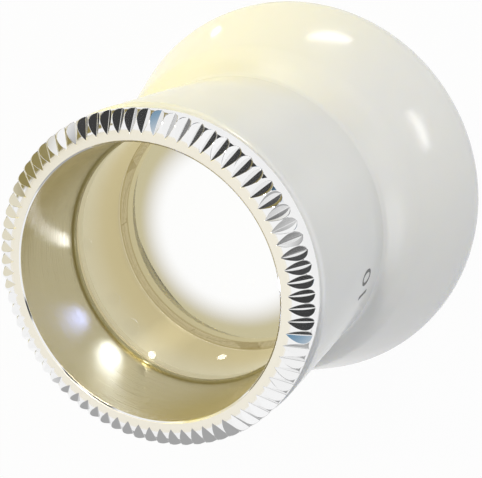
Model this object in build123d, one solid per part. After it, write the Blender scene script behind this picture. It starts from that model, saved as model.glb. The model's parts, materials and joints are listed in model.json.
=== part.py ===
# A watchmaker's eye loupe: an ivory moulded eye cup and barrel, and a screwed-in chrome cell with a
# knurled ring that carries a pair of magnifying lenses.
# Lengths are in millimetres. The loupe stands on the rim of its eye cup: Z is its axis, the rim lies
# at Z = 0 and the knurled ring is on top. Radii build up from the lenses outwards, and heights from
# the rim upwards.

import math
import os

from build123d import *

# Lenses, a pair of plano-convex ones with their crowns facing each other
lens_radius = 11.1
lens_edge_thickness = 1.3
lens_crown_radius = 25.0    # radius of curvature
lens_land_width = 0.4       # flat land round the crown
lens_bevel = 0.15
crown_gap = 1.52            # between the tops of the two crowns

# Lens cell and knurled ring, one turned part
cell_wall = 0.65
cell_end_chamfer = 0.2
recess_wall = 1.1           # wall round the open recess in front of the lens
recess_depth = 7.4          # from the front face to the lip that holds the front lens
lip_width = 0.2
lip_length = 0.4
face_width = 0.55           # smooth front face, between the recess and the crown
face_chamfer = 0.15
crown_width = 1.75          # rounded crown between the front face and the ring's outside
crown_drop = 0.95
knurl_count = 77
knurl_length = 1.1          # from the front face to the grooves' outer ends
knurl_half_angle = 50.0     # degrees, of one groove
knurl_run_out = 0.05        # the grooves begin this far outside the front face's edge
knurl_margin = 0.06         # between the grooves' outer ends and the collar
collar_step = 0.1           # the smooth collar behind the knurl stands in by this much
collar_length = 1.39        # from the knurl down to the barrel
collar_chamfer = 0.12

# Ring that closes the cell from the eye's side
retainer_width = 0.8
retainer_length = 1.6
retainer_slot_width = 1.4
retainer_slot_depth = 0.7
retainer_chamfer = 0.3
cell_margin = 0.2           # the cell stands past the retaining ring by this much

# Barrel and eye cup, one moulding
barrel_wall = 1.3
barrel_edge_round = 0.35
barrel_mouth_chamfer = 0.2
ledge_width = 0.9           # the ledge below the cell stands in by this much
ledge_thickness = 1.3
throat_drop = 0.18          # the ledge's lower face lies this far below the shoulder
throat_round = 0.4
neck_rise = 2.0             # from the shoulder of the cup up to the barrel
neck_round = 0.43           # hollow round between cup and barrel
shoulder_step = 1.85        # the shoulder stands out from the barrel by this much
shoulder_round = 1.24
inner_shoulder_round = 1.2
cup_flare = 3.6             # the cup widens by this much from its shoulder to its rim
cup_height = 9.9            # from the rim's band up to the shoulder
cup_wall = 1.5
rim_band_height = 1.2       # upright band round the rim, which sits in the eye socket
rim_band_round = 0.53
rim_round = 0.55
rim_inner_round = 0.5
round_limit_share = 0.48    # a round takes at most this share of the shorter edge beside it

# Clearances
lens_clearance = 0.05       # radial, lenses in cell
screw_clearance = 0.05      # radial, cell in barrel and retaining ring in cell
cell_end_gap = 0.3          # between the cell's end and the ledge in the barrel
cut_overrun = 1.0

# Radii worked out from the sizes above
lens_seat_radius = lens_radius + lens_clearance
lens_crown_aperture = lens_radius - lens_land_width
cell_radius = lens_seat_radius + cell_wall
recess_radius = cell_radius - recess_wall
lip_radius = recess_radius - lip_width
face_radius = recess_radius + face_width
ring_radius = face_radius + crown_width
collar_radius = ring_radius - collar_step
retainer_radius = lens_seat_radius - screw_clearance
retainer_bore_radius = retainer_radius - retainer_width
barrel_bore_radius = cell_radius + screw_clearance
barrel_radius = barrel_bore_radius + barrel_wall
throat_radius = barrel_bore_radius - ledge_width
shoulder_radius = barrel_radius + shoulder_step
cup_radius = shoulder_radius + cup_flare

# Heights worked out from the sizes above
shoulder_height = rim_band_height + cup_height
neck_height = shoulder_height + neck_rise
throat_height = shoulder_height - throat_drop
ledge_height = throat_height + ledge_thickness
cell_end = ledge_height + cell_end_gap
retainer_end = cell_end + cell_margin
rear_lens_face = retainer_end + retainer_length
rear_land = rear_lens_face + lens_edge_thickness
crown_height = lens_crown_radius - math.sqrt(lens_crown_radius**2 - lens_crown_aperture**2)
front_land = rear_land + 2 * crown_height + crown_gap
front_lens_face = front_land + lens_edge_thickness
lip_top = front_lens_face + lip_length
front_face = lip_top + recess_depth
knurl_end = front_face - knurl_length
collar_top = knurl_end - knurl_margin
barrel_height = collar_top - collar_length


def turned(section):
    """A body of revolution about Z, from a face drawn with X as the radius and Y as the height."""
    return revolve(Plane.XZ * section, Axis.Z)


def half_section(corners):
    """A face through corners of radius, height and rounding, where a rounding of 0 stays sharp.

    The rounding is how far from the corner the round begins, and the edges beside it limit it.
    """
    points = [Vector(radius, height) for radius, height, rounding in corners]
    face = make_face(Polyline(*points, close=True))
    for number, (radius, height, rounding) in enumerate(corners):
        if rounding:
            before = points[number] - points[number - 1]
            after = points[(number + 1) % len(points)] - points[number]
            setback = min(rounding, round_limit_share * before.length, round_limit_share * after.length)
            half_turn = math.radians(before.get_angle(after)) / 2
            corner = face.vertices().sort_by_distance(points[number])[0]
            face = fillet(corner, setback / math.tan(half_turn))
    return face


def make_eyecup_body():
    """Barrel and flared eye cup with their bore, the ledge under the cell and a rounded rim."""
    inner_cup_radius = cup_radius - cup_wall
    inner_shoulder_radius = shoulder_radius - cup_wall
    return turned(
        half_section(
            [
                (inner_cup_radius, 0, rim_inner_round),
                (cup_radius, 0, rim_round),
                (cup_radius, rim_band_height, rim_band_round),
                (shoulder_radius, shoulder_height, shoulder_round),
                (barrel_radius, neck_height, neck_round),
                (barrel_radius, barrel_height, barrel_edge_round),
                (barrel_bore_radius + barrel_mouth_chamfer, barrel_height, 0),
                (barrel_bore_radius, barrel_height - barrel_mouth_chamfer, 0),
                (barrel_bore_radius, ledge_height, 0),
                (throat_radius, ledge_height, 0),
                (throat_radius, throat_height, throat_round),
                (inner_shoulder_radius, throat_height, inner_shoulder_round),
                (inner_cup_radius, rim_band_height, rim_band_round),
            ]
        )
    )


def make_knurl_groove():
    """One V-shaped groove, whose straight bottom cuts the corner of the crown.

    It comes out at the front face's edge and on the ring's outside, so that both ends are pointed.
    """
    start = Vector(face_radius + knurl_run_out, 0, front_face)
    end = Vector(ring_radius, 0, knurl_end)
    along = (end - start).normalized()
    start = start - along * cut_overrun
    end = end + along * cut_overrun
    opening = crown_drop + cut_overrun
    half_width = opening * math.tan(math.radians(knurl_half_angle))
    section_plane = Plane(origin=start, x_dir=(0, 1, 0), z_dir=along)
    outward = section_plane.to_local_coords(start + Vector(1, 0, 0)).Y
    side = math.copysign(opening, outward)
    section = section_plane * make_face(
        Polyline((0, 0), (half_width, side), (-half_width, side), close=True)
    )
    return extrude(section, amount=(end - start).length)


def make_knurled_ring():
    """Ring head with its crown and grooves, the collar, the recess, the lens lip and the cell."""
    crown_base = front_face - crown_drop
    crown = EllipticalCenterArc(
        (face_radius, crown_base), crown_width, crown_drop, start_angle=90, arc_size=-90
    )
    head_outline = Polyline(
        (ring_radius, crown_base),
        (ring_radius, collar_top),
        (recess_radius, collar_top),
        (recess_radius, front_face - face_chamfer),
        (recess_radius + face_chamfer, front_face),
        (face_radius, front_face),
    )
    head = turned(make_face(Curve() + [head_outline, crown]))
    groove = make_knurl_groove()
    head -= [Rot(Z=360 * number / knurl_count) * groove for number in range(knurl_count)]
    cell = turned(
        half_section(
            [
                (recess_radius, collar_top, 0),
                (collar_radius, collar_top, 0),
                (collar_radius, barrel_height + collar_chamfer, 0),
                (collar_radius - collar_chamfer, barrel_height, 0),
                (cell_radius, barrel_height, 0),
                (cell_radius, cell_end + cell_end_chamfer, 0),
                (cell_radius - cell_end_chamfer, cell_end, 0),
                (lens_seat_radius, cell_end, 0),
                (lens_seat_radius, front_lens_face, 0),
                (lip_radius, front_lens_face, 0),
                (lip_radius, lip_top, 0),
                (recess_radius, lip_top, 0),
            ]
        )
    )
    return head + cell


def make_front_lens():
    """Plano-convex lens, its flat side to the front and its crown to the rear."""
    crown_top = front_land - crown_height
    half_angle = math.degrees(math.asin(lens_crown_aperture / lens_crown_radius))
    outline = Polyline(
        (0, crown_top),
        (0, front_lens_face),
        (lens_radius - lens_bevel, front_lens_face),
        (lens_radius, front_lens_face - lens_bevel),
        (lens_radius, front_land + lens_bevel),
        (lens_radius - lens_bevel, front_land),
        (lens_crown_aperture, front_land),
    )
    crown = CenterArc((0, crown_top + lens_crown_radius), lens_crown_radius, 270, half_angle)
    return turned(make_face(Curve() + [outline, crown]))


def make_rear_lens():
    """The same lens turned over, so that its flat side faces the eye."""
    middle = Plane.XY.offset((front_land + rear_land) / 2)
    return mirror(make_front_lens(), about=middle)


def make_lens_spacer():
    """Tube that keeps the two lenses apart, between their flat lands."""
    return turned(
        half_section(
            [
                (lens_crown_aperture, rear_land, 0),
                (lens_radius, rear_land, 0),
                (lens_radius, front_land, 0),
                (lens_crown_aperture, front_land, 0),
            ]
        )
    )


def make_retaining_ring():
    """Threaded ring that closes the cell, with two slots for a pin wrench."""
    ring = turned(
        half_section(
            [
                (retainer_bore_radius, rear_lens_face, 0),
                (retainer_radius, rear_lens_face, 0),
                (retainer_radius, retainer_end, 0),
                (retainer_bore_radius + retainer_chamfer, retainer_end, 0),
                (retainer_bore_radius, retainer_end + retainer_chamfer, 0),
            ]
        )
    )
    slots = Pos(Z=retainer_end) * Box(
        2 * (retainer_radius + cut_overrun), retainer_slot_width, 2 * retainer_slot_depth
    )
    return ring - slots


parts = {
    "eyecup_body": make_eyecup_body(),
    "knurled_ring": make_knurled_ring(),
    "front_lens": make_front_lens(),
    "lens_spacer": make_lens_spacer(),
    "rear_lens": make_rear_lens(),
    "retaining_ring": make_retaining_ring(),
}

os.makedirs("parts", exist_ok=True)
for name, shape in parts.items():
    export_step(shape, f"parts/{name}.step")
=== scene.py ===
import json
import math

import bmesh
import bpy
from mathutils import Matrix, Quaternion, Vector


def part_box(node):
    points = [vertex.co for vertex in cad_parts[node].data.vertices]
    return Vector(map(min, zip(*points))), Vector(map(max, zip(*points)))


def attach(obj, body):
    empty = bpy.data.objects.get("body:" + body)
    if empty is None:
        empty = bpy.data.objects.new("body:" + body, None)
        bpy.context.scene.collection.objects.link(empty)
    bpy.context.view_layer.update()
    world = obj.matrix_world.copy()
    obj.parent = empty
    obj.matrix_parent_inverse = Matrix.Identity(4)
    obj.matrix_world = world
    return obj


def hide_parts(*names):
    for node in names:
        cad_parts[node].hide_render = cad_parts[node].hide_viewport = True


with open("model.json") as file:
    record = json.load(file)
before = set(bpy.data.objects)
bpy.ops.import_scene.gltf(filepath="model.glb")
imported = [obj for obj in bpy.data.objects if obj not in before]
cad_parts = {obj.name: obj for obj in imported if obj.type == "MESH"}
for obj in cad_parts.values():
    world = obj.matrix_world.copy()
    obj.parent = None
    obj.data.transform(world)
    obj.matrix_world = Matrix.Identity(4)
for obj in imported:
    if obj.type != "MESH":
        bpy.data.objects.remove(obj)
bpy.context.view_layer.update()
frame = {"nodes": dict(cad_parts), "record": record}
nodes = frame["nodes"]
mounts = {mount["name"]: mount for mount in frame["record"]["mounts"]}
mm = 0.001
fullTurn = math.tau
print("frame loaded:", sorted(nodes))


# Sizes that several pieces share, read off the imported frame, in millimetres

def low(node):
    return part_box(node)[0].z / mm


def high(node):
    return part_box(node)[1].z / mm


def reach(node):
    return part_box(node)[1].x / mm


barrelRadius = mounts["barrel_outside"]["dims"]["r_mm"]
recessRadius = mounts["front_recess"]["dims"]["r_mm"]
barrelEnd = high("eyecup_body")
frontFace = high("knurled_ring")
cellEnd = low("knurled_ring")
cupRadius = reach("eyecup_body")
lensRadius = reach("front_lens")
spacerTop = high("lens_spacer")
spacerBottom = low("lens_spacer")
frontLensFace = high("front_lens")
rearLensFace = low("rear_lens")


# The screwed cell that carries the lenses

lensCell = {
    "wall": 0.65, "lensClearance": 0.05, "lipWidth": 0.2, "lipLength": 0.4, "lipBreak": 0.05,
    "endChamfer": 0.2,
}


def cellRadius():
    return lensRadius + lensCell["lensClearance"] + lensCell["wall"]


# Modelling helpers

def drawOutline(mesh, corners):
    # corners are (radius, height, round); the round is how far from the corner it begins
    points = [mesh.verts.new((radius * mm, 0, height * mm)) for radius, height, roundness in corners]
    for first, second in zip(points, points[1:] + points[:1]):
        mesh.edges.new((first, second))
    for point, (radius, height, roundness) in zip(points, corners):
        if roundness:
            bmesh.ops.bevel(
                mesh, geom=[point], offset=roundness * mm, offset_type="OFFSET", affect="VERTICES",
                segments=7, profile=0.5, material=-1,
            )
    return mesh


def makeObject(name, mesh, sharpAngle=28):
    data = bpy.data.meshes.new(name)
    mesh.to_mesh(data)
    mesh.free()
    data.shade_smooth()
    data.set_sharp_from_angle(angle=math.radians(sharpAngle))
    made = bpy.data.objects.new(name, data)
    bpy.context.scene.collection.objects.link(made)
    return made


def turned(name, corners, steps=256):
    mesh = drawOutline(bmesh.new(), corners)
    bmesh.ops.spin(
        mesh, geom=mesh.verts[:] + mesh.edges[:], cent=(0, 0, 0), axis=(0, 0, 1),
        angle=fullTurn, steps=steps, use_merge=True,
    )
    bmesh.ops.remove_doubles(mesh, verts=mesh.verts[:], dist=1e-7)
    bmesh.ops.recalc_face_normals(mesh, faces=mesh.faces[:])
    return makeObject(name, mesh)


# Shader maths

class Wire:
    def __init__(self, finish, socket):
        self.finish, self.socket = finish, socket

    def maths(self, operation, first, second=0.0):
        return self.finish.maths(operation, first, second)

    def __add__(self, other):
        return self.maths("ADD", self, other)

    def __sub__(self, other):
        return self.maths("SUBTRACT", self, other)

    def __rsub__(self, other):
        return self.maths("SUBTRACT", other, self)

    def __mul__(self, other):
        return self.maths("MULTIPLY", self, other)

    def __pow__(self, other):
        return self.maths("POWER", self, other)

    __radd__ = __add__
    __rmul__ = __mul__

    def output(self, name):
        return Wire(self.finish, self.socket.node.outputs[name])


class Finish:
    def __init__(self, owner):
        owner.use_nodes = True
        self.owner = owner
        self.tree = owner.node_tree
        self.tree.nodes.clear()

    def node(self, kind, settings={}, sockets={}):
        made = self.tree.nodes.new(kind)
        for key, value in settings.items():
            if key == "stops":
                ramp = made.color_ramp.elements
                while len(ramp) < len(value):
                    ramp.new(0.5)
                for stop, (place, colour) in zip(ramp, value):
                    stop.position, stop.color = place, colour
            else:
                setattr(made, key, value)
        for key, value in sockets.items():
            if isinstance(value, Wire):
                self.tree.links.new(value.socket, made.inputs[key])
            else:
                made.inputs[key].default_value = value
        return Wire(self, made.outputs[0]) if made.outputs else made

    def maths(self, operation, first, second=0.0):
        return self.node("ShaderNodeMath", {"operation": operation}, {0: first, 1: second})

    def place(self):
        return self.node("ShaderNodeTexCoord").output("Object")

    def step(self, value, start, end):
        return self.node(
            "ShaderNodeMapRange", {"interpolation_type": "SMOOTHSTEP"}, {0: value, 1: start, 2: end}
        )

    def blend(self, share, first, second):
        # sockets 6 and 7 are the two colours of a Mix node, and output 2 is their mix
        made = self.node("ShaderNodeMix", {"data_type": "RGBA"}, {0: share, 6: first, 7: second})
        return made.output(2)

    def noise(self, vector, scale, detail=2.0):
        return self.node("ShaderNodeTexNoise", {}, {"Vector": vector, "Scale": scale, "Detail": detail})

    def bump(self, height, strength, distance):
        return self.node(
            "ShaderNodeBump", {}, {"Height": height, "Strength": strength, "Distance": distance}
        )

    def polar(self):
        # radius and height of the shaded point, in millimetres
        split = self.node("ShaderNodeSeparateXYZ", {}, {0: self.place()})
        x, y, z = split.output("X"), split.output("Y"), split.output("Z")
        return (x * x + y * y) ** 0.5 * (1 / mm), z * (1 / mm)

    def surface(self, shader):
        self.node("ShaderNodeOutputMaterial", {}, {"Surface": shader})
        return self.owner


def rgb(red, green, blue):
    return (red, green, blue, 1.0)


# Finishes

def ivoryPlastic():
    look = {"deep": rgb(0.80, 0.795, 0.76), "light": rgb(0.84, 0.835, 0.80), "gloss": 0.13}
    finish = Finish(bpy.data.materials.new("ivoryPlastic"))
    place = finish.place()
    clouds = finish.noise(place, 90.0, 3.0)
    peel = finish.noise(place, 1400.0)
    shader = finish.node("ShaderNodeBsdfPrincipled", {}, {
        "Base Color": finish.blend(clouds, look["deep"], look["light"]),
        "Roughness": look["gloss"] + 0.04 * clouds,
        "IOR": 1.5,
        "Subsurface Weight": 0.3,
        "Subsurface Radius": (1.0, 0.85, 0.55),
        "Subsurface Scale": 0.0025,
        "Normal": finish.bump(peel, 0.05, 0.00002),
    })
    return finish.surface(shader)


def turnedChrome():
    look = {
        "bright": rgb(0.92, 0.92, 0.92), "satin": rgb(0.57, 0.51, 0.31), "face": rgb(0.88, 0.84, 0.73),
        "lip": rgb(0.42, 0.37, 0.19), "cell": rgb(0.80, 0.72, 0.54),
        "knurlRoughness": 0.04, "faceRoughness": 0.28, "satinRoughness": 0.20, "lineScale": 26.0,
    }
    finish = Finish(bpy.data.materials.new("turnedChrome"))
    radius, height = finish.polar()
    # painted reflection: the recess wall's satin colour is darkened and tinted olive, standing for the warm
    # surroundings that the wall reflects
    inside = 1 - finish.step(radius, recessRadius + 0.01, recessRadius + 0.05)
    face = finish.step(height, frontFace - 0.03, frontFace - 0.01) * (1 - inside)
    lipTop = frontLensFace + lensCell["lipLength"]
    # painted shade: the lip round the front lens is coloured darker, standing for the shade in the gap where
    # the lens sits
    lip = 1 - finish.step(height, lipTop, lipTop + 0.1)
    cell = 1 - finish.step(height, frontLensFace - 0.15, frontLensFace - 0.05)
    lines = finish.node(
        "ShaderNodeTexNoise", {"noise_dimensions": "2D"},
        {
            "Vector": finish.node("ShaderNodeCombineXYZ", {}, {0: radius, 1: height}),
            "Scale": look["lineScale"], "Detail": 3.0,
        },
    )
    smudges = finish.noise(finish.place(), 260.0, 3.0)
    polished = finish.blend(face, look["bright"], look["face"])
    wall = finish.blend(cell, finish.blend(lip, look["satin"], look["lip"]), look["cell"])
    roughness = (
        look["knurlRoughness"] + face * (look["faceRoughness"] - look["knurlRoughness"])
        + inside * (look["satinRoughness"] - look["knurlRoughness"]) + 0.05 * smudges
    )
    shader = finish.node("ShaderNodeBsdfPrincipled", {}, {
        "Base Color": finish.blend(inside, polished, wall),
        "Metallic": 1 - 0.3 * inside,
        "Roughness": roughness,
        "Normal": finish.bump(lines * (inside + 0.4 * face), 0.3, 0.00003),
    })
    return finish.surface(shader)


def opticalGlass():
    # the photographed lens hardly bends the view, and its polished faces reflect as a coat
    look = {
        "bend": 1.07, "coatBend": 1.5, "tint": rgb(1.0, 1.0, 0.995), "shade": rgb(0.31, 0.25, 0.09),
        "ground": rgb(0.20, 0.18, 0.13), "groundGlow": rgb(0.54, 0.47, 0.28),
        "clearRadius": 6.2, "shadeRadius": 9.1,
    }
    finish = Finish(bpy.data.materials.new("opticalGlass"))
    dust = finish.noise(finish.place(), 900.0, 4.0)
    radius, height = finish.polar()
    # painted shade: the rear lens's flat face is tinted olive towards its rim, standing for the shaded
    # inside of the barrel seen through the lenses
    rearFace = 1 - finish.step(height, rearLensFace + 0.02, rearLensFace + 0.05)
    shade = rearFace * finish.step(radius, look["clearRadius"], look["shadeRadius"])
    glass = finish.node("ShaderNodeBsdfPrincipled", {}, {
        "Base Color": finish.blend(shade, look["tint"], look["shade"]),
        "Roughness": 0.004 * finish.step(dust, 0.62, 0.8),
        "IOR": look["bend"],
        "Coat IOR": look["coatBend"],
        "Coat Weight": finish.step(height, frontLensFace - 0.05, frontLensFace - 0.02),
        "Coat Roughness": 0.02,
        "Transmission Weight": 1.0,
    })
    # painted light: the ground edge of each lens glows, standing for the light scattered inside the lens
    # cell
    ground = finish.node("ShaderNodeBsdfPrincipled", {}, {
        "Base Color": look["ground"], "Roughness": 0.9,
        "Emission Color": look["groundGlow"], "Emission Strength": 0.8,
    })
    edge = finish.step(radius, lensRadius - 0.05, lensRadius - 0.02)
    lens = finish.node("ShaderNodeMixShader", {}, {0: edge, 1: glass, 2: ground})
    clear = finish.node("ShaderNodeBsdfTransparent", {}, {"Color": rgb(0.95, 0.95, 0.93)})
    shadow = finish.node("ShaderNodeLightPath").output("Is Shadow Ray")
    return finish.surface(finish.node("ShaderNodeMixShader", {}, {0: shadow, 1: lens, 2: clear}))


def turnedMetal(name, roughness, lineScale):
    # the light scattered between the lenses is written as a glow, palest at the rear lens
    look = {
        "metal": rgb(0.12, 0.11, 0.08), "end": rgb(0.93, 0.91, 0.85), "deep": rgb(0.56, 0.48, 0.27),
        "edge": rgb(0.60, 0.545, 0.365), "brightHeight": rearLensFace - 0.3,
        "deepHeight": rearLensFace - 0.05, "edgeHeight": spacerTop - 4.5,
    }
    finish = Finish(bpy.data.materials.new(name))
    radius, height = finish.polar()
    lines = finish.node(
        "ShaderNodeTexNoise", {"noise_dimensions": "2D"},
        {"Vector": finish.node("ShaderNodeCombineXYZ", {}, {0: radius, 1: height}), "Scale": lineScale},
    )
    stains = finish.noise(finish.place(), 300.0, 3.0)
    deep = finish.step(height, look["brightHeight"], look["deepHeight"])
    edge = finish.step(height, look["edgeHeight"], spacerTop)
    shader = finish.node("ShaderNodeBsdfPrincipled", {}, {
        "Base Color": look["metal"],
        "Metallic": 1.0,
        "Roughness": roughness + 0.1 * stains,
        "Emission Color": finish.blend(edge, finish.blend(deep, look["end"], look["deep"]), look["edge"]),
        "Emission Strength": 0.85,
        "Normal": finish.bump(lines, 0.2, 0.00003),
    })
    return finish.surface(shader)


def markInk():
    finish = Finish(bpy.data.materials.new("markInk"))
    wear = finish.noise(finish.place(), 2600.0, 3.0)
    shader = finish.node("ShaderNodeBsdfPrincipled", {}, {
        "Base Color": finish.blend(wear, rgb(0.02, 0.022, 0.02), rgb(0.16, 0.16, 0.15)),
        "Roughness": 0.35 + 0.2 * wear,
    })
    return finish.surface(shader)


def dress(piece, material, body, replaced=()):
    piece.data.materials.clear()
    piece.data.materials.append(material)
    if replaced:
        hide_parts(*replaced)
    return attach(piece, body)


# Eye cup and barrel, one moulding

eyeCup = {
    "wall": 1.5, "flare": 3.6, "bandHeight": 1.2, "bandRound": 0.53, "rimRound": 0.55, "rimInnerRound": 0.5,
    "neckRise": 2.0, "neckRound": 0.43, "coneHeight": 9.9, "shoulderRound": 1.24, "innerShoulderRound": 1.2,
    "throatDrop": 0.18, "throatRound": 0.4, "ledgeThickness": 1.3, "ledgeWidth": 0.9,
    "boreClearance": 0.05, "mouthChamfer": 0.2, "edgeRound": 0.35,
}


def makeEyeCup():
    size = eyeCup
    shoulderRadius = cupRadius - size["flare"]
    shoulderHeight = size["bandHeight"] + size["coneHeight"]
    throatHeight = shoulderHeight - size["throatDrop"]
    ledgeHeight = throatHeight + size["ledgeThickness"]
    boreRadius = cellRadius() + size["boreClearance"]
    throatRadius = boreRadius - size["ledgeWidth"]
    return turned("eyeCupBody", [
        (cupRadius - size["wall"], 0, size["rimInnerRound"]),
        (cupRadius, 0, size["rimRound"]),
        (cupRadius, size["bandHeight"], size["bandRound"]),
        (shoulderRadius, shoulderHeight, size["shoulderRound"]),
        (barrelRadius, shoulderHeight + size["neckRise"], size["neckRound"]),
        (barrelRadius, barrelEnd, size["edgeRound"]),
        (boreRadius + size["mouthChamfer"], barrelEnd, 0),
        (boreRadius, barrelEnd - size["mouthChamfer"], 0),
        (boreRadius, ledgeHeight, 0),
        (throatRadius, ledgeHeight, 0.08),
        (throatRadius, throatHeight, size["throatRound"]),
        (shoulderRadius - size["wall"], throatHeight, size["innerShoulderRound"]),
        (cupRadius - size["wall"], size["bandHeight"], size["bandRound"]),
    ])


# Knurled ring with its lens cell, one turned part

knurl = {
    "count": 77, "length": 1.1, "margin": 0.06, "halfAngle": 50.0, "runOut": 0.05,
    "edgeBreak": 0.022, "edgeAngle": 20.0, "overrun": 1.0, "sectorSteps": 4,
}
ringHead = {
    "faceWidth": 0.55, "crownWidth": 1.75, "crownDrop": 0.95, "crownSteps": 20, "faceChamfer": 0.15,
    "sharpAngle": 9.6,
}
collar = {"step": 0.1, "chamfer": 0.12}
thread = {
    "pitch": 0.75, "rootDepth": 0.22, "reliefLength": 1.2, "endLength": 0.5, "crestWidth": 0.1,
    "crestDrop": 0.02, "flankShare": 0.42, "sink": 0.04, "stepsPerTurn": 96,
}


def ringOutline():
    faceRadius = recessRadius + ringHead["faceWidth"]
    ringRadius = faceRadius + ringHead["crownWidth"]
    crownBase = frontFace - ringHead["crownDrop"]
    quarter = [math.pi / 2 * step / ringHead["crownSteps"] for step in range(ringHead["crownSteps"] + 1)]
    width, drop = ringHead["crownWidth"], ringHead["crownDrop"]
    crown = [(faceRadius + width * math.sin(turn), crownBase + drop * math.cos(turn), 0) for turn in quarter]
    collarRadius = ringRadius - collar["step"]
    collarTop = frontFace - knurl["length"] - knurl["margin"]
    outside = cellRadius()
    seatRadius = outside - lensCell["wall"]
    lipRadius = recessRadius - lensCell["lipWidth"]
    lipTop = frontLensFace + lensCell["lipLength"]
    rootRadius = outside - thread["rootDepth"]
    return [
        (recessRadius, frontFace - ringHead["faceChamfer"], 0),
        (recessRadius + ringHead["faceChamfer"], frontFace, 0),
        *crown,
        (ringRadius, collarTop, 0),
        (collarRadius, collarTop, 0),
        (collarRadius, barrelEnd + collar["chamfer"], 0),
        (collarRadius - collar["chamfer"], barrelEnd, 0),
        (outside, barrelEnd, 0),
        (outside, barrelEnd - thread["reliefLength"] / 2, 0),
        (rootRadius, barrelEnd - thread["reliefLength"], 0),
        (rootRadius, cellEnd + thread["endLength"], 0),
        (outside, cellEnd + thread["endLength"], 0),
        (outside, cellEnd + lensCell["endChamfer"], 0),
        (outside - lensCell["endChamfer"], cellEnd, 0),
        (seatRadius, cellEnd, 0),
        (seatRadius, frontLensFace, 0),
        (lipRadius, frontLensFace, lensCell["lipBreak"]),
        (lipRadius, lipTop, lensCell["lipBreak"]),
        (recessRadius, lipTop, 0),
    ]


def makeKnurlCutter():
    faceRadius = recessRadius + ringHead["faceWidth"]
    ringRadius = faceRadius + ringHead["crownWidth"]
    start = Vector((faceRadius + knurl["runOut"], 0, frontFace)) * mm
    end = Vector((ringRadius, 0, frontFace - knurl["length"])) * mm
    along = (end - start).normalized()
    outward = along.cross(Vector((0, 1, 0)))
    if outward.x < 0:
        outward = -outward
    opening = (knurl["overrun"] + ringHead["crownDrop"]) * mm
    side = Vector((0, math.tan(math.radians(knurl["halfAngle"])) * opening, 0))
    mesh = bmesh.new()
    foot = start - along * knurl["overrun"] * mm
    shifts = (Vector(), outward * opening + side, outward * opening - side)
    cap = mesh.faces.new([mesh.verts.new(foot + shift) for shift in shifts])
    swept = bmesh.ops.extrude_face_region(mesh, geom=[cap])["geom"]
    moved = [part for part in swept if isinstance(part, bmesh.types.BMVert)]
    bmesh.ops.translate(mesh, verts=moved, vec=along * ((end - start).length + 2 * knurl["overrun"] * mm))
    bmesh.ops.recalc_face_normals(mesh, faces=mesh.faces[:])
    return makeObject("knurlCutter", mesh)


def makeRingSector():
    halfAngle = fullTurn / knurl["count"] / 2
    mesh = drawOutline(bmesh.new(), ringOutline())
    cap = bmesh.ops.contextual_create(mesh, geom=mesh.verts[:] + mesh.edges[:])["faces"]
    bmesh.ops.rotate(mesh, verts=mesh.verts[:], cent=(0, 0, 0), matrix=Matrix.Rotation(-halfAngle, 3, "Z"))
    bmesh.ops.spin(
        mesh, geom=mesh.verts[:] + mesh.edges[:] + cap, cent=(0, 0, 0), axis=(0, 0, 1),
        angle=2 * halfAngle, steps=knurl["sectorSteps"],
    )
    bmesh.ops.recalc_face_normals(mesh, faces=mesh.faces[:])
    return makeObject("ringSector", mesh)


def makeKnurledRing():
    cutter, sector = makeKnurlCutter(), makeRingSector()
    carve = sector.modifiers.new("groove", "BOOLEAN")
    carve.object, carve.operation, carve.solver = cutter, "DIFFERENCE", "EXACT"
    bpy.context.view_layer.update()
    carved = sector.evaluated_get(bpy.context.evaluated_depsgraph_get()).to_mesh()
    mesh = bmesh.new()
    mesh.from_mesh(carved)
    halfAngle = fullTurn / knurl["count"] / 2
    sides = [Matrix.Rotation(turn, 3, "Z") @ Vector((0, 1, 0)) for turn in (halfAngle, -halfAngle)]
    onSeam = 1e-7
    caps = [
        face for face in mesh.faces
        if any(abs(face.calc_center_median().dot(side)) < onSeam for side in sides)
    ]
    bmesh.ops.delete(mesh, geom=caps, context="FACES")
    headEdges = [
        edge for edge in mesh.edges
        if len(edge.link_faces) == 2 and edge.calc_face_angle() > math.radians(knurl["edgeAngle"])
        and min(vert.co.z for vert in edge.verts) > barrelEnd * mm
    ]
    bmesh.ops.bevel(
        mesh, geom=headEdges, offset=knurl["edgeBreak"] * mm, offset_type="OFFSET", affect="EDGES",
        segments=2, profile=0.5, material=-1, clamp_overlap=True,
    )
    bmesh.ops.spin(
        mesh, geom=mesh.verts[:] + mesh.edges[:] + mesh.faces[:], cent=(0, 0, 0), axis=(0, 0, 1),
        angle=fullTurn, steps=knurl["count"], use_duplicate=True,
    )
    bmesh.ops.remove_doubles(mesh, verts=mesh.verts[:], dist=2e-6)
    bmesh.ops.recalc_face_normals(mesh, faces=mesh.faces[:])
    for scrap in (cutter, sector):
        bpy.data.objects.remove(scrap)
    addThread(mesh)
    return makeObject("knurledRing", mesh, ringHead["sharpAngle"])


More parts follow.
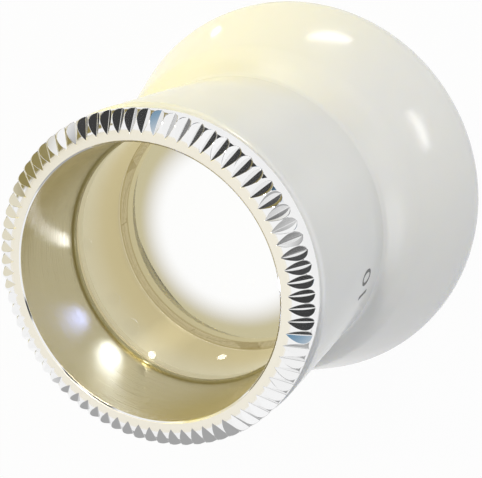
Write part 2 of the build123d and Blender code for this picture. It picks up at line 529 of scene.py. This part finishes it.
def addThread(mesh):
    crestRadius = cellRadius() - thread["crestDrop"]
    rootRadius = cellRadius() - thread["rootDepth"]
    bottom = cellEnd + thread["endLength"]
    top = barrelEnd - thread["reliefLength"]
    turns = int((top - bottom) / thread["pitch"]) - 1
    steps = thread["stepsPerTurn"]
    middle = bottom + thread["pitch"] / 2
    flank = thread["pitch"] * thread["flankShare"]
    corners = [
        (rootRadius - thread["sink"], middle - flank), (crestRadius, middle - thread["crestWidth"] / 2),
        (crestRadius, middle + thread["crestWidth"] / 2), (rootRadius - thread["sink"], middle + flank),
    ]
    ridge = bmesh.new()
    points = [ridge.verts.new((radius * mm, 0, height * mm)) for radius, height in corners]
    cap = ridge.faces.new(points)
    bmesh.ops.spin(
        ridge, geom=ridge.verts[:] + ridge.edges[:] + [cap], cent=(0, 0, 0), axis=(0, 0, 1),
        dvec=(0, 0, thread["pitch"] * mm / steps), angle=fullTurn * turns, steps=steps * turns,
    )
    bmesh.ops.recalc_face_normals(ridge, faces=ridge.faces[:])
    scrap = bpy.data.meshes.new("ridge")
    ridge.to_mesh(scrap)
    ridge.free()
    mesh.from_mesh(scrap)
    bpy.data.meshes.remove(scrap)


# Lenses, spacer and retaining ring

lens = {"crownRadius": 25.0, "landWidth": 0.4, "bevel": 0.15}
spacer = {"edgeBreak": 0.05}


def makeLens(name, face, land, facing):
    # facing is +1 for the lens whose flat face looks to the front, -1 for the one that looks to the eye
    aperture = lensRadius - lens["landWidth"]
    crownHeight = lens["crownRadius"] - math.sqrt(lens["crownRadius"] ** 2 - aperture**2)
    apex = land - facing * crownHeight
    centre = apex + facing * lens["crownRadius"]
    mesh = bmesh.new()
    top = mesh.verts.new((0, 0, apex * mm))
    bmesh.ops.spin(
        mesh, geom=[top], cent=(0, 0, centre * mm), axis=(0, -1, 0),
        angle=facing * math.asin(aperture / lens["crownRadius"]), steps=40,
    )
    mesh.verts.ensure_lookup_table()
    rim = max(mesh.verts, key=lambda vert: vert.co.x)
    rest = [
        (lensRadius - lens["bevel"], land), (lensRadius, land + facing * lens["bevel"]),
        (lensRadius, face - facing * lens["bevel"]), (lensRadius - lens["bevel"], face), (0, face),
    ]
    for radius, height in rest:
        following = mesh.verts.new((radius * mm, 0, height * mm))
        mesh.edges.new((rim, following))
        rim = following
    bmesh.ops.spin(
        mesh, geom=mesh.verts[:] + mesh.edges[:], cent=(0, 0, 0), axis=(0, 0, 1),
        angle=fullTurn, steps=192, use_merge=True,
    )
    bmesh.ops.remove_doubles(mesh, verts=mesh.verts[:], dist=1e-7)
    bmesh.ops.recalc_face_normals(mesh, faces=mesh.faces[:])
    return makeObject(name, mesh)


def makeSpacer():
    inner = lensRadius - lens["landWidth"]
    edge = spacer["edgeBreak"]
    return turned("lensSpacer", [
        (inner, spacerBottom, edge), (lensRadius, spacerBottom, edge),
        (lensRadius, spacerTop, edge), (inner, spacerTop, edge),
    ])


# The power figure printed on the barrel

mark = {
    "text": "10", "height": 2.2, "sizePerHeight": 1.4, "turn": -137.0, "level": 17.5,
    "depth": 0.012, "sink": 0.004,
}


def makePowerMark():
    size = mark
    text = bpy.data.curves.new("powerMark", "FONT")
    text.body, text.size = size["text"], size["height"] * mm * size["sizePerHeight"]
    text.align_x = text.align_y = "CENTER"
    text.extrude = size["depth"] * mm / 2
    flat = bpy.data.objects.new("powerMark", text)
    bpy.context.scene.collection.objects.link(flat)
    bpy.context.view_layer.update()
    data = bpy.data.meshes.new_from_object(flat)
    bpy.data.objects.remove(flat)
    mesh = bmesh.new()
    mesh.from_mesh(data)
    bmesh.ops.subdivide_edges(mesh, edges=mesh.edges[:], cuts=1, use_grid_fill=True)
    for vert in mesh.verts:
        turn = math.radians(size["turn"]) + vert.co.x / (barrelRadius * mm)
        radius = (barrelRadius + size["depth"] / 2 - size["sink"]) * mm + vert.co.z
        vert.co = (radius * math.cos(turn), radius * math.sin(turn), size["level"] * mm + vert.co.y)
    bmesh.ops.remove_doubles(mesh, verts=mesh.verts[:], dist=1e-8)
    bmesh.ops.recalc_face_normals(mesh, faces=mesh.faces[:])
    return makeObject("powerMark", mesh)


chrome, ivory, glass = turnedChrome(), ivoryPlastic(), opticalGlass()
dress(makeEyeCup(), ivory, "eyecup", ["eyecup_body"])
print("eye cup made")
dress(makeKnurledRing(), chrome, "cell", ["knurled_ring"])
print("knurled ring made")
frontLens = makeLens("frontLens", frontLensFace, spacerTop, 1)
dress(frontLens, glass, "lens_pair", ["front_lens"])
rearLens = makeLens("rearLens", rearLensFace, spacerBottom, -1)
dress(rearLens, glass, "lens_pair", ["rear_lens"])
aluminium = turnedMetal("bareAluminium", 0.34, 30.0)
dress(makeSpacer(), aluminium, "lens_pair", ["lens_spacer"])
nodes["retaining_ring"].data.materials.clear()
nodes["retaining_ring"].data.materials.append(aluminium)
print("lenses, spacer and retaining ring made")
dress(makePowerMark(), markInk(), "eyecup")
print("power figure made")


# Floor, light and camera

studio = {
    "floorSize": 3.0, "ambient": 0.28, "ambientColour": (0.89, 0.92, 1.0), "sky": 0.97,
    "floorGlow": 0.97, "floorTone": 0.55, "cameraPlace": (0, -0.04192, 0.09143),
    "cameraTarget": (-0.00111, -0.00030, 0.015), "cameraRoll": -124.03, "focalPixels": 1000.0,
    "pictureWidth": 482.0, "sensorWidth": 36.0, "lampTarget": (0, 0, 0.015),
}
# an open ring of studio panels round the loupe, seen in the chrome only, in two bands, one above the
# other. Each panel has the azimuth in degrees where it begins and one of a few plain tones.
panelTones = {
    "white": (0.95, 0.95, 0.95), "grey": (0.40, 0.40, 0.40), "dark": (0.05, 0.05, 0.05),
    "cream": (0.80, 0.75, 0.60), "olive": (0.30, 0.25, 0.10), "blue": (0.10, 0.25, 0.40),
}
reflectors = {
    "radius": 70.0, "height": 112.0, "change": (55.0, 58.0), "softEdge": 2.0,
    "low": [
        (-180, "grey"), (-155, "white"), (-90, "blue"), (-85, "dark"), (-40, "white"), (-25, "olive"),
        (5, "cream"), (50, "white"), (115, "grey"),
    ],
    "high": [
        (-180, "white"), (-130, "dark"), (-115, "white"), (-70, "dark"), (-55, "white"), (-45, "dark"),
        (-25, "white"), (20, "olive"), (55, "white"),
    ],
}
# a pale shelf that keeps the glints below it out of the barrel's reflections
shelf = {"inner": 16.2, "outer": 46.0, "height": 9.0, "tone": 0.93}
# the table under the cup, which lights the inside of the barrel
underLight = {"radius": 15.0, "height": 0.2, "strength": 0.9}
# azimuth and elevation in degrees, distance and size in metres, power in watts
lamps = {
    "keyLamp": {
        "azimuth": -41, "elevation": 55, "distance": 0.6, "size": 0.09, "power": 1.15,
        "colour": (1.0, 0.96, 0.86),
    },
    "warmLamp": {
        "azimuth": 20, "elevation": 20, "distance": 0.5, "size": 0.20, "power": 1.32,
        "colour": (1.0, 0.83, 0.02),
    },
    "frontLamp": {
        "azimuth": -36, "elevation": 6, "distance": 0.5, "size": 0.30, "power": 0.85,
        "colour": (0.93, 0.95, 1.0),
    },
    "fillLamp": {
        "azimuth": -135, "elevation": 15, "distance": 0.5, "size": 0.30, "power": 0.78,
        "colour": (0.90, 0.93, 1.0),
    },
}
# images of lamps on the lens, which the satin wall of the recess shows
lampImages = [
    {"place": (-2.3, 8.6), "size": 0.78, "colour": (1.5, 1.7, 2.4), "strength": 4.5},
    {"place": (0.45, 8.6), "size": 0.62, "colour": (0.85, 1.05, 2.6), "strength": 3.0},
    {"place": (5.5, 7.8), "size": 0.50, "colour": (1.3, 1.4, 1.9), "strength": 3.0},
]
glints = [
    {"place": (15.0, -17.6), "half": (3.2, 0.9), "turn": 25.0, "strength": 6.0},
    {"place": (-2.8, -25.3), "half": (3.8, 0.65), "turn": -4.0, "strength": 7.5},
    {"place": (20.4, -3.2), "half": (0.9, 0.5), "turn": 50.0, "strength": 3.5},
    {"place": (-8.33, 2.91), "overLens": True, "half": (0.46, 0.20), "turn": -99.4, "strength": 14.0},
    {"place": (-5.27, 8.73), "overLens": True, "half": (0.40, 0.34), "turn": -78.3, "strength": 14.0},
]
glintHeight = {"overTable": 1.0, "overLens": frontLensFace + 0.5}


def seenDirectly(finish):
    # 1 for camera, glossy and transmission rays, 0 for light that falls on the object
    path = finish.node("ShaderNodeLightPath")
    seen = path.output("Is Camera Ray") + path.output("Is Glossy Ray") + path.output("Is Transmission Ray")
    return finish.node("ShaderNodeClamp", {}, {0: seen})


def makeFloor():
    mesh = bmesh.new()
    bmesh.ops.create_grid(mesh, x_segments=1, y_segments=1, size=studio["floorSize"])
    floor = makeObject("floor", mesh)
    finish = Finish(bpy.data.materials.new("paleFloor"))
    plain = finish.node("ShaderNodeBsdfDiffuse", {}, {"Color": rgb(*[studio["floorTone"]] * 3)})
    share = studio["floorGlow"] * seenDirectly(finish)
    glow = finish.node("ShaderNodeEmission", {}, {"Color": rgb(1, 1, 1), "Strength": 1.0})
    mixed = finish.node("ShaderNodeMixShader", {}, {0: share, 1: plain, 2: glow})
    floor.data.materials.append(finish.surface(mixed))


def makeWorld():
    world = bpy.data.worlds.new("studioWorld")
    bpy.context.scene.world = world
    finish = Finish(world)
    ambient = {"Color": rgb(*studio["ambientColour"]), "Strength": studio["ambient"]}
    dim = finish.node("ShaderNodeBackground", {}, ambient)
    white = finish.node("ShaderNodeBackground", {}, {"Color": rgb(1, 1, 1), "Strength": studio["sky"]})
    mixed = finish.node("ShaderNodeMixShader", {}, {0: seenDirectly(finish), 1: dim, 2: white})
    finish.node("ShaderNodeOutputWorld", {}, {"Surface": mixed})


def showInReflectionsOnly(card):
    card.visible_camera = card.visible_diffuse = card.visible_transmission = card.visible_shadow = False


def glow(name, card, colour, strength=1.0):
    finish = Finish(bpy.data.materials.new(name))
    emission = finish.node("ShaderNodeEmission", {}, {"Color": rgb(*colour), "Strength": strength})
    card.data.materials.append(finish.surface(emission))
    return card


def sweep(name, points, first, last, steps):
    # a strip swept round the loupe from points of radius and height in millimetres, between two azimuths
    mesh = bmesh.new()
    start = Matrix.Rotation(math.radians(first), 3, "Z")
    ends = [mesh.verts.new(start @ Vector((radius, 0, height)) * mm) for radius, height in points]
    mesh.edges.new(ends)
    bmesh.ops.spin(
        mesh, geom=ends + mesh.edges[:], cent=(0, 0, 0), axis=(0, 0, 1), angle=math.radians(last - first),
        steps=steps, use_merge=last - first == 360,
    )
    return makeObject(name, mesh)


def panelStops(panels, softEdge):
    # colour stops round the full turn, with a soft edge wherever the tone changes
    stops = [(-180, panels[0][1])]
    for (_, before), (azimuth, after) in zip(panels, panels[1:]):
        stops += [(azimuth - softEdge, before), (azimuth + softEdge, after)]
    stops.append((180, panels[-1][1]))
    return [((degrees + 180) / 360, rgb(*panelTones[tone])) for degrees, tone in stops]


def makeReflectors():
    size = reflectors
    ring = sweep("reflectors", [(size["radius"], 0), (size["radius"], size["height"])], -180, 180, 128)
    finish = Finish(bpy.data.materials.new("reflectors"))
    split = finish.node("ShaderNodeSeparateXYZ", {}, {0: finish.place()})
    azimuth = finish.maths("ARCTAN2", split.output("Y"), split.output("X"))
    turn = finish.node("ShaderNodeMapRange", {}, {0: azimuth, 1: -math.pi, 2: math.pi})
    bands = [
        finish.node("ShaderNodeValToRGB", {"stops": panelStops(size[band], size["softEdge"])}, {0: turn})
        for band in ("low", "high")
    ]
    change = finish.step(split.output("Z"), *[height * mm for height in size["change"]])
    light = finish.node("ShaderNodeEmission", {}, {"Color": finish.blend(change, *bands), "Strength": 1.0})
    ring.data.materials.append(finish.surface(light))
    showInReflectionsOnly(ring)


def makeCards():
    rim = [(shelf["inner"], shelf["height"]), (shelf["outer"], shelf["height"])]
    showInReflectionsOnly(glow("shelf", sweep("shelf", rim, -180, 180, 96), [shelf["tone"]] * 3))
    for number, image in enumerate(lampImages):
        # the dark disc just below hides each image from the lenses
        for layer, lift, colour in (("lampImage", 0.06, image["colour"]), ("lampShade", 0.04, (0, 0, 0))):
            mesh = bmesh.new()
            bmesh.ops.create_circle(mesh, cap_ends=True, segments=32, radius=image["size"] * mm)
            mesh.transform(Matrix.Translation(Vector((*image["place"], frontLensFace + lift)) * mm))
            name = f"{layer}{number}"
            showInReflectionsOnly(glow(name, makeObject(name, mesh), colour, image["strength"]))
    for number, glint in enumerate(glints):
        # a dull lid just above a glint keeps it to the lens below
        overLens = glint.get("overLens", False)
        level = glintHeight["overLens" if overLens else "overTable"]
        layers = [("glint", 0.0, glint["strength"]), ("glintLid", 0.02, 0.6)]
        for layer, lift, strength in layers[:2 if overLens else 1]:
            mesh = bmesh.new()
            bmesh.ops.create_circle(mesh, cap_ends=True, segments=32, radius=mm)
            stretch = Matrix.Diagonal((*glint["half"], 1.0, 1.0))
            spot = Vector((*glint["place"], level + lift)) * mm
            turn = Matrix.Rotation(math.radians(glint["turn"]), 4, "Z")
            mesh.transform(Matrix.Translation(spot) @ turn @ stretch)
            name = f"{layer}{number}"
            showInReflectionsOnly(glow(name, makeObject(name, mesh), (1, 1, 1), strength))


def makeUnderLight():
    mesh = bmesh.new()
    bmesh.ops.create_circle(mesh, cap_ends=True, segments=48, radius=underLight["radius"] * mm)
    disc = glow("underLight", makeObject("underLight", mesh), (1, 1, 1), underLight["strength"])
    disc.location.z = underLight["height"] * mm
    disc.visible_camera = disc.visible_glossy = disc.visible_transmission = disc.visible_shadow = False


def makeLamp(name, azimuth, elevation, distance, size, power, colour):
    turn, lift = math.radians(azimuth), math.radians(elevation)
    direction = Vector((math.cos(turn) * math.cos(lift), math.sin(turn) * math.cos(lift), math.sin(lift)))
    lamp = bpy.data.lights.new(name, "AREA")
    lamp.shape, lamp.size = "DISK", size
    lamp.energy, lamp.color = power, colour
    made = bpy.data.objects.new(name, lamp)
    made.location = Vector(studio["lampTarget"]) + direction * distance
    made.rotation_mode = "QUATERNION"
    made.rotation_quaternion = direction.to_track_quat("Z", "Y")
    bpy.context.scene.collection.objects.link(made)


def makeCamera():
    data = bpy.data.cameras.new("camera")
    data.sensor_fit, data.sensor_width = "HORIZONTAL", studio["sensorWidth"]
    data.lens = studio["focalPixels"] * studio["sensorWidth"] / studio["pictureWidth"]
    data.clip_start = 0.005
    camera = bpy.data.objects.new("camera", data)
    place = Vector(studio["cameraPlace"])
    view = Vector(studio["cameraTarget"]) - place
    roll = Quaternion((0, 0, 1), math.radians(studio["cameraRoll"]))
    camera.rotation_mode = "QUATERNION"
    camera.location = place
    camera.rotation_quaternion = view.to_track_quat("-Z", "Y") @ roll
    bpy.context.scene.collection.objects.link(camera)
    bpy.context.scene.camera = camera


makeFloor()
makeWorld()
makeReflectors()
makeCards()
makeUnderLight()
for name, lamp in lamps.items():
    makeLamp(name, **lamp)
makeCamera()
bpy.context.scene.view_settings.view_transform = "Standard"
print("stage, lamps and camera made")
